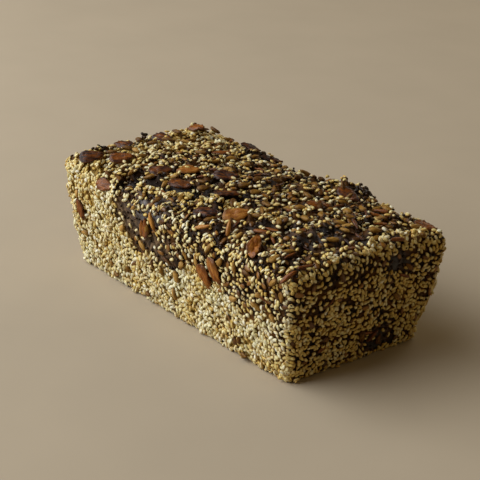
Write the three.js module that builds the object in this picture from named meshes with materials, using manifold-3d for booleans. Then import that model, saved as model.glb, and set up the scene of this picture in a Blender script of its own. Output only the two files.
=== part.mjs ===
// A whole tin loaf of keto bread: sides that lean in towards the base as the tin's did, a low rough crown
// and a crust of seeds baked on. The loaf and its larger seeds are fused into one solid.
// Millimetres, +Z up. X runs along the loaf, Y across it, and the origin is the middle of the flat base.
import * as THREE from "three";
import { mergeVertices } from "three/addons/utils/BufferGeometryUtils.js";
import Module from "manifold-3d";

const wasm = await Module();
wasm.setup();
const { clamp, degToRad, lerp, smoothstep } = THREE.MathUtils;

// Driving dimensions
const RIM_LENGTH = 196; // the loaf is longest and widest at the tin's rim
const RIM_WIDTH = 105;
const RIM_HEIGHT = 58.5;
const WALL_LEAN = 9; // how far each wall comes in from rim to base
const CROWN_RISE = 8; // the middle of the top above the rim
const CROWN_POWER = { along: 8, across: 3 }; // the higher, the flatter the crown and the steeper its edge
const CORNER = 7; // roundness of the upright corners
const SHOULDER = 8; // height over which the walls roll into the top
const HEEL = 3; // height over which they roll into the base
const UNDERCUT = 1; // depth of the heel that the flat base cuts off
const CELL = 6; // spacing of the surface grid

const HALF_LENGTH = RIM_LENGTH / 2;
const HALF_WIDTH = RIM_WIDTH / 2;
const GOLDEN_TURN = Math.PI * (3 - Math.sqrt(5));

// Uneven baking: broad swells all over, fuller on the top than where the tin pressed
const SWELLS = 7;
const SWELL_LENGTH = 46; // the broadest one, crest to crest
const SWELL_SHRINK = 0.8; // each is this much shorter than the one before
const SWELL_SLOPE = 0.012; // height for each millimetre of length
const TIN_SMOOTHING = 0.5; // share of the swell left on the walls
const FOOT = 8; // height over which the swell fades out towards the base

// Places where the dough stood up or caught on the tin: spot, how far it reaches, and the push it gives
const PUSHES = [
  { at: [-92, -42, 58], reach: 16, push: [0, 0, 3.5] }, // clump on the far front corner
  { at: [-92, 0, 62], reach: 26, push: [0, 0, 3] }, // the far end stands high
  { at: [-90, 34, 62], reach: 10, push: [0, 0, 4] }, // clump on the far back corner
  { at: [30, 48, 60], reach: 12, push: [0, 0, 5] }, // clump on the back edge, and the dip beside it
  { at: [-8, 48, 60], reach: 18, push: [0, 0, -2] },
  { at: [-45, -44, 60], reach: 9, push: [0, 0, -2] }, // fold along the front of the top
  { at: [-28, -42, 61], reach: 9, push: [0, 0, -3] },
  { at: [-11, -39, 62], reach: 9, push: [0, 0, -3.5] },
  { at: [5, -34, 64], reach: 9, push: [0, 0, -3.5] },
  { at: [18, -25, 65], reach: 9, push: [0, 0, -2.5] },
  { at: [94, 50, 34], reach: 16, push: [1.4, 1.4, 0] }, // corners that bulged in the tin
  { at: [-95, -50, 38], reach: 16, push: [-1.2, -1.2, 0] },
  { at: [97, 21, 50], reach: 9, push: [-2.5, 0, 0] }, // bare pits in the near end
  { at: [90, 19, 11], reach: 9, push: [-3, 0, 0] },
];

// Seeds: length, width and thickness
const SEED_SIZES = {
  pumpkin: [14, 7.6, 2.4],
  kernel: [6.6, 3.4, 2.3], // sunflower
  sliver: [10, 2.6, 2.2], // a seed on edge or a split one
};
const SEED_SIT = 0.2; // share of the thickness that the middle of a seed sits above the crust
const SEED_POINT = 0.18; // how much narrower a seed is towards one end, and wider towards the other
const SEED_ROLL = degToRad(25); // the most that a strewn seed rolls about its length
const SEED_SIDES = 6;
const SEED_RINGS = 4;

// Seeds that stand out: kind, face, two places along that face, heading and roll in degrees
const CHOSEN_SEEDS = [
  ["pumpkin", "top", -80, -43, 60, 20],
  ["pumpkin", "top", -40, -26, 55, 15],
  ["pumpkin", "top", -31, -14, 50, 10],
  ["pumpkin", "top", -18, -29, 20, -10],
  ["kernel", "top", -4, -25, 55, 15],
  ["pumpkin", "top", -11, -5, 40, 25],
  ["pumpkin", "top", 8, -19, 45, -20],
  ["pumpkin", "top", 17, -39, 35, 10],
  ["pumpkin", "top", 31, -31, 55, 40],
  ["pumpkin", "top", 62, -45, -45, 25],
  ["sliver", "top", 92, -39, 82, 0],
  ["sliver", "top", 92, -49, 75, 0],
  ["pumpkin", "top", 86, 45, 20, 15],
  ["pumpkin", "top", -52, 45, 10, 10],
  ["pumpkin", "top", -31, 43, 30, 10],
  ["pumpkin", "top", 46, 9, 60, 15],
  ["pumpkin", "front", 31, 36, -60, 15],
  ["pumpkin", "front", 40, 43, -65, 15],
  ["pumpkin", "front", -84, 34, -75, 10],
  ["pumpkin", "top", -66, -33, 60, 10],
  ["pumpkin", "top", 42, 33, 5, 20],
  ["kernel", "top", 7, -7, 50, 10],
  ["kernel", "top", 16, -7, 55, 20],
  ["kernel", "top", 77, -45, 95, 10],
  ["kernel", "front", 55, 33, 20, 0],
  ["sliver", "front", -23, 44, 80, 0],
  ["kernel", "front", -18, 45, 88, 0],
  ["sliver", "front", -13, 51, -62, 0],
  ["sliver", "top", 90, -10, 85, 0],
  ["sliver", "top", 53, -33, 30, 0],
];

// Seeds strewn over each face by rule, the largest first: kind, face, how many, and room around each
const STREWN_SEEDS = [
  ["pumpkin", "top", 3, 14],
  ["pumpkin", "back", 4, 16],
  ["pumpkin", "far", 2, 16],
  ["kernel", "top", 56, 7.5],
  ["kernel", "back", 5, 10],
  ["kernel", "front", 4, 10],
  ["kernel", "near", 2, 10],
  ["kernel", "far", 3, 10],
];
const STREW_MARGIN = 9; // strip along the edges of a face left to the chosen seeds
const STREW_STEP = [0.7548776662, 0.569840291]; // steps that fill a square evenly
const STREW_TRIES = 50; // places looked at for each seed before a full face is given up

// Each face of the plain block: how far its two places run, and where a pair of them is
const ALONG = [-HALF_LENGTH, HALF_LENGTH];
const ACROSS = [-HALF_WIDTH, HALF_WIDTH];
const UP = [0, RIM_HEIGHT];
const FACES = {
  top: { spans: [ALONG, ACROSS], at: (x, y) => new THREE.Vector3(x, y, RIM_HEIGHT) },
  front: { spans: [ALONG, UP], at: (x, z) => new THREE.Vector3(x, -HALF_WIDTH, z) },
  back: { spans: [ALONG, UP], at: (x, z) => new THREE.Vector3(x, HALF_WIDTH, z) },
  near: { spans: [ACROSS, UP], at: (y, z) => new THREE.Vector3(HALF_LENGTH, y, z) },
  far: { spans: [ACROSS, UP], at: (y, z) => new THREE.Vector3(-HALF_LENGTH, y, z) },
};

// A sum of sine waves whose directions turn by the golden angle, so that no two swells line up
function swellHeight(point) {
  let height = 0;
  for (let i = 0; i < SWELLS; i++) {
    const length = SWELL_LENGTH * SWELL_SHRINK ** i;
    const climb = 1 - (2 * i + 1) / SWELLS;
    const reach = Math.sqrt(1 - climb * climb);
    const turn = i * GOLDEN_TURN;
    const along = point.x * reach * Math.cos(turn) + point.y * reach * Math.sin(turn) + point.z * climb;
    height += SWELL_SLOPE * length * Math.sin((2 * Math.PI * along) / length + turn);
  }
  return height;
}

// Carries a point of the plain block onto the loaf: rounded, leaned, crowned, swollen and pushed
function onLoaf(block) {
  const core = new THREE.Vector3(
    clamp(block.x, CORNER - HALF_LENGTH, HALF_LENGTH - CORNER),
    clamp(block.y, CORNER - HALF_WIDTH, HALF_WIDTH - CORNER),
    clamp(block.z, HEEL - UNDERCUT, RIM_HEIGHT - SHOULDER),
  );
  const radii = new THREE.Vector3(CORNER, CORNER, block.z > core.z ? SHOULDER : HEEL);
  const share = block.clone().sub(core).divide(radii).normalize();
  const point = share.clone().multiply(radii).add(core);
  const outward = share.divide(radii).normalize();

  const top = smoothstep(point.z, RIM_HEIGHT - 2 * SHOULDER, RIM_HEIGHT);
  const lean = WALL_LEAN * (1 - point.z / RIM_HEIGHT);
  const endDrop = Math.abs(point.x / HALF_LENGTH) ** CROWN_POWER.along;
  const sideDrop = Math.abs(point.y / HALF_WIDTH) ** CROWN_POWER.across;
  point.x *= 1 - lean / HALF_LENGTH;
  point.y *= 1 - lean / HALF_WIDTH;
  point.z += CROWN_RISE * top * (1 - endDrop) * (1 - sideDrop);

  const swell = lerp(TIN_SMOOTHING, 1, top) * smoothstep(point.z, 0, FOOT) * swellHeight(point);
  const moved = point.clone().addScaledVector(outward, swell);
  for (const { at, reach, push } of PUSHES) {
    const near = Math.exp(-point.distanceToSquared(new THREE.Vector3(...at)) / reach ** 2);
    moved.addScaledVector(new THREE.Vector3(...push), near);
  }
  return moved;
}

// The loaf's surface at a place on a face: the spot, the two ways along the face and the way out
function surfaceAt(face, a, b) {
  const { at } = FACES[face];
  const along = onLoaf(at(a + 1, b)).sub(onLoaf(at(a - 1, b))).normalize();
  const across = onLoaf(at(a, b + 1)).sub(onLoaf(at(a, b - 1)));
  const out = along.clone().cross(across).normalize();
  if (face === "back" || face === "far") {
    out.negate();
  }
  return { spot: onLoaf(at(a, b)), along, side: out.clone().cross(along), out };
}

// A three.js geometry as a solid that can be joined and cut
function solidOf(geometry) {
  geometry.deleteAttribute("normal");
  geometry.deleteAttribute("uv");
  const merged = mergeVertices(geometry);
  const corners = merged.index.array;
  const kept = [];
  for (let i = 0; i < corners.length; i += 3) {
    const [a, b, c] = corners.slice(i, i + 3);
    if (a !== b && b !== c && c !== a) {
      kept.push(a, b, c);
    }
  }
  const vertProperties = merged.attributes.position.array;
  return new wasm.Manifold(new wasm.Mesh({ numProp: 3, vertProperties, triVerts: new Uint32Array(kept) }));
}

function geometryOf(solid) {
  const mesh = solid.getMesh();
  const geometry = new THREE.BufferGeometry();
  geometry.setAttribute("position", new THREE.BufferAttribute(mesh.vertProperties, 3));
  geometry.setIndex(new THREE.BufferAttribute(mesh.triVerts, 1));
  geometry.computeVertexNormals();
  return geometry;
}

// The loaf without its seeds, cut flat where it stands
function bareLoaf() {
  const tall = RIM_HEIGHT + UNDERCUT;
  const cells = [RIM_LENGTH, RIM_WIDTH, tall].map((size) => Math.round(size / CELL));
  const geometry = new THREE.BoxGeometry(RIM_LENGTH, RIM_WIDTH, tall, ...cells);
  geometry.translate(0, 0, tall / 2 - UNDERCUT);
  const places = geometry.attributes.position;
  for (let i = 0; i < places.count; i++) {
    places.setXYZ(i, ...onLoaf(new THREE.Vector3().fromBufferAttribute(places, i)));
  }
  const board = new THREE.BoxGeometry(2 * RIM_LENGTH, 2 * RIM_WIDTH, tall);
  board.translate(0, 0, -tall / 2);
  return solidOf(geometry).subtract(solidOf(board));
}

// A flat seed along X, blunt at one end and drawn to a point at the other
function seedGeometry(kind) {
  const [length, width, thickness] = SEED_SIZES[kind];
  const geometry = new THREE.SphereGeometry(1, SEED_SIDES, SEED_RINGS);
  geometry.rotateZ(-Math.PI / 2);
  const places = geometry.attributes.position;
  for (let i = 0; i < places.count; i++) {
    const x = places.getX(i);
    const y = places.getY(i) * (1 - SEED_POINT * x);
    places.setXYZ(i, (x * length) / 2, (y * width) / 2, (places.getZ(i) * thickness) / 2);
  }
  return geometry;
}

// A seed laid on the crust with a heading along the face and a roll about its own length
function laidSeed({ kind, face, a, b, heading, roll }) {
  const { spot, along, side, out } = surfaceAt(face, a, b);
  const place = new THREE.Matrix4().makeBasis(along, side, out);
  place.setPosition(spot.addScaledVector(out, SEED_SIT * SEED_SIZES[kind][2]));
  place.multiply(new THREE.Matrix4().makeRotationZ(heading));
  place.multiply(new THREE.Matrix4().makeRotationX(roll));
  return solidOf(seedGeometry(kind).applyMatrix4(place));
}

function allSeeds() {
  const seeds = CHOSEN_SEEDS.map(([kind, face, a, b, heading, roll]) => {
    return { kind, face, a, b, heading: degToRad(heading), roll: degToRad(roll) };
  });
  for (const [kind, face, count, room] of STREWN_SEEDS) {
    const [[aLow, aHigh], [bLow, bHigh]] = FACES[face].spans;
    let laid = 0;
    for (let i = 1; laid < count && i < STREW_TRIES * count; i++) {
      const a = lerp(aLow + STREW_MARGIN, aHigh - STREW_MARGIN, (i * STREW_STEP[0]) % 1);
      const b = lerp(bLow + STREW_MARGIN, bHigh - STREW_MARGIN, (i * STREW_STEP[1]) % 1);
      const crowded = seeds.some((seed) => seed.face === face && Math.hypot(seed.a - a, seed.b - b) < room);
      if (!crowded) {
        seeds.push({ kind, face, a, b, heading: i * GOLDEN_TURN, roll: SEED_ROLL * Math.sin(i) });
        laid += 1;
      }
    }
  }
  return seeds;
}

// Fused, with any hollow that the seeds close off filled and any loose scrap dropped
const fused = allSeeds().reduce((solid, seed) => solid.add(laidSeed(seed)), bareLoaf());
const [whole] = fused.decompose().sort((one, other) => other.volume() - one.volume());

const seededCrust = new THREE.MeshStandardMaterial({ color: 0x8a6f45, roughness: 0.75, metalness: 0 });
const loaf = new THREE.Mesh(geometryOf(whole), seededCrust);
loaf.name = "loaf";

const part = new THREE.Group();
part.add(loaf);

export default part;
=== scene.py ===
"""A whole tin loaf of keto bread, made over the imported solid: a dark crust under a full coat of seeds.

Lengths in this file are in millimetres, in the solid's own frame: X along the loaf, Y across it, Z up from
the base. They become metres where a mesh is written.
"""

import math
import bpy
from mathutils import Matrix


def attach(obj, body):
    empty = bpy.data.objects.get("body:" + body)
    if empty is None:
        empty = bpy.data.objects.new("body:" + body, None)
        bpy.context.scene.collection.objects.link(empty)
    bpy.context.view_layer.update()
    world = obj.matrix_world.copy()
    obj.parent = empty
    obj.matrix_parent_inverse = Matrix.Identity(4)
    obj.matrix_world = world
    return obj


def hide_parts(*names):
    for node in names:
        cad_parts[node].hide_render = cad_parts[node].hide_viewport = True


bl_info = {
    "name": "Keto bread",
    "version": (1, 0, 0),
    "blender": (4, 5, 0),
    "location": "View3D > Sidebar > Keto bread",
    "description": "Makes a whole tin loaf of seeded keto bread and the studio it is seen in",
    "category": "Mesh",
}

import bmesh
import bpy
import numpy as np
from bpy.props import FloatProperty, FloatVectorProperty, PointerProperty
from mathutils import Matrix, Vector, kdtree, noise

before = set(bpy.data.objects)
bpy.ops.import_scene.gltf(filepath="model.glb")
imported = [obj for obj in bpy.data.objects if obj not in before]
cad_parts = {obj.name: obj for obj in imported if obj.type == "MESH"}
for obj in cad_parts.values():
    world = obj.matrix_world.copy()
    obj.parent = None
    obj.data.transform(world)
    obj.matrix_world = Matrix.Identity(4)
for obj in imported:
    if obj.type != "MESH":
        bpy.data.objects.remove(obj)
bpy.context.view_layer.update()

MM = 0.001
GOLDEN_TURN = math.pi * (3.0 - math.sqrt(5.0))

# Starting numbers of the random draws
LARGE_SEED_DRAWS = 11
SESAME_DRAWS = 5
FLECK_DRAWS = 23

# The loaf's form, with the solid's own sizes
RIM_LENGTH = 196.0
RIM_WIDTH = 105.0
RIM_HEIGHT = 58.5
WALL_LEAN = 9.0
CROWN_RISE = 8.0
CROWN_POWER_ALONG = 8
CROWN_POWER_ACROSS = 3
CORNER = 7.0
SHOULDER = 8.0
HEEL = 3.0
UNDERCUT = 1.0
HALF_LENGTH = RIM_LENGTH / 2
HALF_WIDTH = RIM_WIDTH / 2

# Its uneven baking
SWELLS = 7
SWELL_LENGTH = 46.0
SWELL_SHRINK = 0.8
SWELL_SLOPE = 0.012
TIN_SMOOTHING = 0.5
FOOT = 8.0

# Where the dough stood up or caught on the tin: spot, how far it reaches, and the push it gives
PUSHES = (
    ((-92, -42, 58), 16, (0, 0, 3.5)),
    ((-92, 0, 62), 26, (0, 0, 3)),
    ((-90, 34, 62), 10, (0, 0, 4)),
    ((30, 48, 60), 12, (0, 0, 5)),
    ((-8, 48, 60), 18, (0, 0, -2)),
    ((-45, -44, 60), 9, (0, 0, -2)),
    ((-28, -42, 61), 9, (0, 0, -3)),
    ((-11, -39, 62), 9, (0, 0, -3.5)),
    ((5, -34, 64), 9, (0, 0, -3.5)),
    ((18, -25, 65), 9, (0, 0, -2.5)),
    ((94, 50, 34), 16, (1.4, 1.4, 0)),
    ((-95, -50, 38), 16, (-1.2, -1.2, 0)),
    ((97, 21, 50), 9, (-2.5, 0, 0)),
    ((90, 19, 11), 9, (-3, 0, 0)),
)

# Each face of the plain block: the two axes along it, the axis it looks along, its place there, the way out
FACES = {
    "top": (0, 1, 2, RIM_HEIGHT, 1.0),
    "front": (0, 2, 1, -HALF_WIDTH, 1.0),
    "back": (0, 2, 1, HALF_WIDTH, -1.0),
    "near": (1, 2, 0, HALF_LENGTH, 1.0),
    "far": (1, 2, 0, -HALF_LENGTH, -1.0),
}
ENDS = ("near", "far")
SPANS = ((-HALF_LENGTH, HALF_LENGTH), (-HALF_WIDTH, HALF_WIDTH), (0.0, RIM_HEIGHT))

# Length, width and thickness of a seed of each kind; the first three are in the solid too
SEED_SIZES = {
    "pumpkin": (14.0, 7.6, 2.4),
    "kernel": (6.6, 3.4, 2.3),
    "sliver": (10.0, 2.6, 2.2),
    "linseed": (4.9, 3.0, 1.3),
}

# How high a larger seed sits, by its thickness, how deep a smaller one sinks, and how far strewn ones roll
SEED_SIT = 0.2
SEED_SINK = 1.2
SEED_ROLL = math.radians(25)

# Seeds that stand out: kind, face, two places on it, heading and roll in degrees, tone from dark to pale
CHOSEN_SEEDS = (
    ("pumpkin", "top", -80, -43, 60, 20, 0.12),
    ("pumpkin", "top", -40, -26, 55, 15, 0.15),
    ("pumpkin", "top", -31, -14, 50, 10, 0.65),
    ("pumpkin", "top", -18, -29, 20, -10, 0.2),
    ("kernel", "top", -4, -25, 55, 15, 0.15),
    ("pumpkin", "top", -11, -5, 40, 25, 0.08),
    ("pumpkin", "top", 8, -19, 45, -20, 0.12),
    ("pumpkin", "top", 17, -39, 35, 10, 0.05),
    ("pumpkin", "top", 31, -31, 55, 40, 0.7),
    ("pumpkin", "top", 62, -45, -45, 25, 0.6),
    ("sliver", "top", 92, -39, 82, 0, 0.2),
    ("sliver", "top", 92, -49, 75, 0, 0.35),
    ("pumpkin", "top", 86, 45, 20, 15, 0.28),
    ("pumpkin", "top", -52, 45, 10, 10, 0.03),
    ("pumpkin", "top", -31, 43, 30, 10, 0.06),
    ("pumpkin", "top", 46, 9, 60, 15, 0.3),
    ("pumpkin", "front", 31, 36, -60, 0, 0.48),
    ("pumpkin", "front", 40, 43, -65, 0, 0.6),
    ("pumpkin", "front", -84, 34, -75, 10, 0.35),
    ("pumpkin", "top", -66, -33, 60, 10, 0.3),
    ("pumpkin", "top", 42, 33, 5, 20, 0.15),
    ("kernel", "top", 7, -7, 50, 10, 0.2),
    ("kernel", "top", 16, -7, 55, 20, 0.4),
    ("kernel", "top", 77, -45, 95, 10, 0.8),
    ("kernel", "front", 55, 33, 20, 0, 0.9),
    ("sliver", "front", -23, 44, 80, 0, 0.6),
    ("kernel", "front", -18, 45, 88, 0, 0.4),
    ("sliver", "front", -13, 51, -62, -10, 1.1),
    ("sliver", "top", 90, -10, 85, 0, 0.3),
    ("sliver", "top", 53, -33, 30, 0, 0.45),
)

# Seeds strewn over each face by the solid's rule: kind, face, how many, and room around each
STREWN_SEEDS = (
    ("pumpkin", "top", 3, 14.0),
    ("pumpkin", "back", 4, 16.0),
    ("pumpkin", "far", 2, 16.0),
    ("kernel", "top", 56, 7.5),
    ("kernel", "back", 5, 10.0),
    ("kernel", "front", 4, 10.0),
    ("kernel", "near", 2, 10.0),
    ("kernel", "far", 3, 10.0),
)
STREW_MARGIN = 9.0
STREW_STEP = (0.7548776662, 0.569840291)
STREW_TRIES = 50

# The least size and tone of the solid's seeds and their range, and how much paler the front wall's are
STREWN_SIZE = (0.9, 0.2)
STREWN_TONE = (0.1, 0.5)
STREWN_FRONT_PALER = 0.7

# Seeds seen one by one: kind, face, two places on it, heading, roll and pitch in degrees, and tone
LOOSE_SEEDS = (
    ("linseed", "top", 28, 6, 20, 0, 0, 0.8),
    ("linseed", "top", 33, 4, 40, 10, 0, 0.75),
    ("linseed", "top", 56, 5, 20, 15, 0, 0.7),
    ("linseed", "top", 69, -34, 30, 10, 0, 0.6),
    ("linseed", "top", -45, -6, 10, 0, 0, 1.0),
    ("kernel", "top", 53, 12, 55, 10, 0, 0.3),
    ("kernel", "top", 74, 3, 60, 0, 0, 0.8),
    ("kernel", "top", 68, 10, 20, 10, 0, 0.3),
    ("kernel", "top", 47, 28, 30, 0, 55, 0.3),
    ("pumpkin", "front", -57, 58, 5, 0, 0, 0.38),
    ("kernel", "top", -70, -21, 0, 10, 0, 0.9),
    ("kernel", "top", -68, 11, 30, 0, 0, 0.9),
    ("kernel", "front", 45, 50, 60, 0, 0, 0.7),
    ("pumpkin", "top", 60.5, -43, 126, 20, 15, 0.5),
    ("kernel", "front", 59, 10.5, 70, 0, 12, 0.12),
    ("kernel", "front", 63, 3, 10, 0, 12, 0.2),
    ("kernel", "front", -57, 5, 15, 0, 12, 0.2),
    ("kernel", "front", -44, 13, 60, 0, 12, 0.35),
    ("kernel", "front", -25, 5, 15, 0, 12, 0.2),
    ("kernel", "front", -7, 25, 80, 0, 12, 0.45),
    ("sliver", "near", 11, 12, 30, 0, 0, 0.25),
    ("kernel", "near", 18, 8, 60, 0, 0, 0.1),
    ("pumpkin", "front", -20, 45, 82, -10, 0, 0.34),
    ("kernel", "top", 37, 34, 207, 20, 65, 0.15),
    ("sliver", "top", 39, -42, 140, 20, 32, 0.85),
    ("sliver", "top", 26, -48, 35, 0, 0, 0.9),
    ("sliver", "top", 66, 33, 20, 0, 10, 0.4),
    ("sliver", "top", 66, 28, 30, 0, 0, 0.45),
    ("sliver", "top", 93, 18, 80, 0, 0, 0.4),
    ("pumpkin", "top", -78, 26, 10, 10, 15, 0.42),
)

# Their size beside the full one, and how much of the rise of its nose a pitched one is lifted by
LOOSE_SIZE = 0.9
PITCH_LIFT = 0.4

# Smaller seeds strewn over each face by chance: kind, face, room around each, share filled, and tilt
SMALL_SEEDS = (
    ("kernel", "top", 7.0, 0.22, 0.25),
    ("kernel", "front", 6.5, 0.5, 0.15),
    ("kernel", "back", 15.0, 0.3, 0.15),
    ("sliver", "top", 6.5, 0.45, 0.08),
    ("sliver", "front", 20.0, 0.5, 0.2),
    ("sliver", "near", 16.0, 0.4, 0.2),
    ("linseed", "top", 4.4, 0.7, 0.25),
    ("linseed", "front", 5.5, 0.7, 0.2),
    ("linseed", "back", 6.5, 0.5, 0.2),
    ("linseed", "near", 8.0, 0.5, 0.2),
    ("linseed", "far", 12.0, 0.3, 0.2),
)

# Their margin at the rims, size beside the full one, and palest tone
SMALL_SEED_RULES = {
    "kernel": (4.0, 0.9, 1.0),
    "sliver": (14.0, 0.72, 0.5),
    "linseed": (4.0, 0.9, 1.0),
}
SMALL_SEED_VARY = 0.16
SMALL_SEED_CLEARANCE = 1.3
SIZE_LIMITS = (0.6, 1.4)

# Small heaps of sesame along the lip of the fold and the rims: face, two places, reach, and how many
HEAPS = (
    ("top", 92, 1, 3.5, 12),
    ("top", 92, 26, 4.5, 14),
    ("top", 93, -25, 4.0, 16),
    ("top", 86, 19, 4.0, 8),
    ("top", -88, -50, 4.0, 16),
    ("top", 2, 47, 4.0, 12),
    ("top", 14, 47, 4.5, 14),
    ("top", 56, 47, 4.0, 12),
    ("top", 72, 46, 4.0, 12),
    ("top", -36, -42, 4.0, 12),
    ("top", -30, -42, 4.5, 14),
    ("top", -22, -40, 4.5, 16),
    ("top", -14, -37, 4.5, 14),
    ("top", -6, -35, 4.5, 14),
    ("top", 2, -33, 4.5, 14),
    ("top", 9, -28, 4.5, 14),
    ("top", 12, -24, 4.0, 16),
    ("top", 17, -21, 4.0, 16),
    ("top", 22, -17, 4.0, 14),
    ("top", -11, -47, 5.0, 14),
    ("top", 93, 13, 3.5, 14),
    ("top", 92, 34, 4.5, 16),
)

# Dips in the top along its far rims, and lips along the near one: face, two places, two reaches, and depth
TOP_DIPS = (
    ("top", 93, -25, 4, 6, -1.6),
    ("top", 93, 2, 4, 6, -1.4),
    ("top", 93, 14, 4, 6, -1.4),
    ("top", 93, 30, 4, 9, -1.8),
    ("top", 84, 4, 5, 14, 0.8),
    ("top", -84, -17, 14, 9, 1.6),
    ("top", -84, 4, 14, 9, 2.0),
    ("top", -68, 46, 10, 12, 1.0),
    ("top", -18, 42, 9, 10, 1.6),
)

# Crumbly clods of dark crust that stand up along the far rims, given like the heaps
CLODS = (
    ("top", -86, -31, 5.0, 22),
    ("top", -86, -6, 4.5, 20),
    ("top", 41, 45, 6.0, 60),
    ("top", -42, 44, 3.5, 10),
)
HEAP_TILT = 0.45
HEAP_SINK = 0.3

# Spots where the sesame is toasted more or less: face, two places, two reaches, and the change in toasting
GOLDEN_SPOTS = (
    ("front", 16, 15, 5, 5, 0.45),
    ("front", 3, 20, 13, 13, -0.3),
    ("front", 84, 8, 8, 8, 0.35),
    ("front", -40, 12, 10, 10, 0.2),
    ("front", -82, 46, 16, 16, 0.18),
    ("top", -68, -24, 6, 6, 0.4),
    ("top", -80, 18, 7, 7, 0.4),
    ("top", -46, 13, 6, 6, 0.4),
)

# Spots on the loaf where the bare crust is burnt and gets a painted grey sheen of reflected light: spot,
# reach and strength
BURNT_SHEEN_SPOTS = (
    ((-26, -49, 55), 8, 1.0),
    ((-12, -48, 57), 8, 1.0),
    ((-42, -43, 60), 5, 0.4),
    ((-14, -32, 63), 8, 0.3),
    ((76, -13, 66), 11, 0.3),
    ((94, 21, 51), 7, 0.4),
    ((90, 17, 9), 9, 0.3),
)

# Spots on the front shoulder where the crust slid along the tin too: spot and reach
SHOULDER_SMEARS = (((-24, -49, 54), 9), ((-12, -48, 57), 9))

# The fold where the top broke open, as places along the loaf and across it
FOLD_PLACES = (-50.0, -38.0, -28.0, -18.0, -9.0, 1.0, 10.0, 20.0)
FOLD_SIDES = (-41.0, -37.0, -34.5, -32.0, -29.5, -25.0, -19.0, -12.0)
FOLD_MIDDLE = -16.0
FOLD_FADE = (38.0, 28.0)
FOLD_DEPTH = 3.2
FOLD_REACH = 3.2
FOLD_LIP = 7.5
FOLD_LIP_HEIGHT = 1.8
FOLD_LIP_REACH = 4.0
FOLD_BARE_REACH = 3.8
# Reach of the charred crust and painted shade in the crease
FOLD_CHAR_SHADE_REACH = 4.5

# Height on the front wall of the smear that the crust left on the tin, at places along the loaf
SMEAR_PLACES = (-50.0, -34.0, -20.0, -3.0)
SMEAR_HEIGHTS = (46.0, 42.0, 39.0, 31.0)
SMEAR_REACH = 10.0
SMEAR_MIDDLE = -25.0
SMEAR_FADE = (30.0, 22.0)

# Lumps in the crust, and how far it lies lower under the thick sesame at the far end and along the back
WALL_LUMPS = 0.4
TOP_LUMPS = 1.0
LUMP_LENGTH = 13.0
LUMP_WAVES = 5
FAR_COAT = 2.2
FAR_COAT_FADE = (-45.0, -80.0)
BACK_COAT = 1.3
BACK_COAT_FADE = (25.0, 42.0)
BACK_COAT_END = (30.0, 10.0)

# How far the way out points up, endways or to the front where the crust counts as that side
CRAG_TOP = (0.3, 0.9)
LOOKS_UP = (0.3, 0.75)
LOOKS_ENDWAYS = (0.5, 0.8)
LOOKS_FRONT = -0.3

# Browning of the crust, from charred at 0 to rusk at 1, and the finer marks in it
CRUST_BROWN = 0.25
END_BROWN = 0.05
THICK_COAT_BROWN = 0.6
LOOSE_COAT_CHAR = 0.7
PATCH_BROWN = 0.1
FAR_BROWN = 0.4
FAR_BROWN_FADE = (-35.0, -80.0)
# Darkening of the crust in the fold: charring plus painted shade in the crease
FOLD_CHAR_AND_SHADE = 0.6
# Speckling of the burnt crust with its painted sheen: size of the specks, mean share and change, and limits
BURNT_SHEEN_SPECKS = 3.5
BURNT_SHEEN_SHARE = (0.75, 0.5)
BURNT_SHEEN_LIMITS = (0.2, 1.0)
SMEAR_SMOOTHING = 0.35
CRUMB_PITCH = 0.22
CRUMB_NOISE = (0.9, 2.1, 4)

# Height on the front wall up to which the sesame lies thick, at places along the loaf
THICK_COAT_PLACES = (-66.0, -53.0, -44.0, -40.0, -36.0, -28.0, -9.0, 6.0, 20.0, 77.0, 87.0, 92.0, 96.0)
THICK_COAT_HEIGHTS = (58.0, 52.0, 45.0, 34.0, 29.0, 27.0, 27.0, 31.0, 31.0, 31.0, 31.0, 33.0, 36.0)
THICK_COAT_WOBBLE = 3.0
THICK_COAT_EDGE = 4.0

# Where that coat is looser towards the near end: along the loaf, above the foot and below the rim
LOOSE_COAT_START = (35.0, 70.0)
LOOSE_COAT_FOOT = (6.0, 22.0)
LOOSE_COAT_HEAD = (56.0, 46.0)

# Sizes of the patches in which seeds lie thicker and thinner
BROAD_PATCHES = 34.0
FINE_PATCHES = 11.0
CLUMPS = 6.0

# Share of the places that sesame fills: the mean, and what broad patches, fine patches and clumps change
TOP_COVER = (0.46, 0.12, 0.14, 0.24)
END_COVER = (0.86, 0.08, 0.12, 0.0)
THIN_COVER = (0.39, 0.08, 0.12, 0.2)
THICK_COVER = (1.25, 0.0, 0.15, 0.25)
LEAST_COVER = 0.02
LOOSE_IN_THIN = 0.32
LOOSE_IN_THICK = 0.35
FOLD_BARING = 0.9
END_FOOT = 0.12
END_FOOT_FADE = (26.0, 8.0)
END_RIM_BARING = {"near": 0.34, "far": 0.1}
END_RIM_FADE = (42.0, 52.0)

# Where the upper layer of sesame starts, as cover of the under layer, how it rises, and its fullest share
STACK_START = 0.85
STACK_RATE = 1.5
STACK_MOST = 0.9

# Share of the flecks and of the smaller brown seeds on each face, and how both thin out towards the far end
FAR_FADE = (-35.0, -75.0)
TOP_FLECKS = 0.9
TOP_FLECKS_LOST = 0.7
END_FLECKS = 0.4
WALL_FLECKS = 0.7
FLECKS_PER_SESAME = 2.0
LEAST_FLECKS = 0.35
FOLD_CHIPS = 0.4
FAR_CHIPS_LOST = 0.6
THICK_CHIPS_LOST = 0.9
CHIPS_PER_SESAME = 3.0
LEAST_CHIPS = 0.3

# Strewing by chance: places tried for each that fits, least share, and how uneven the rooms are
TRIES_PER_PLACE = 12
LEAST_SHARE = 0.04
UNEVEN_ROOMS = (0.7, 1.25)
EVEN_ROOMS = (0.92, 1.16)

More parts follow.
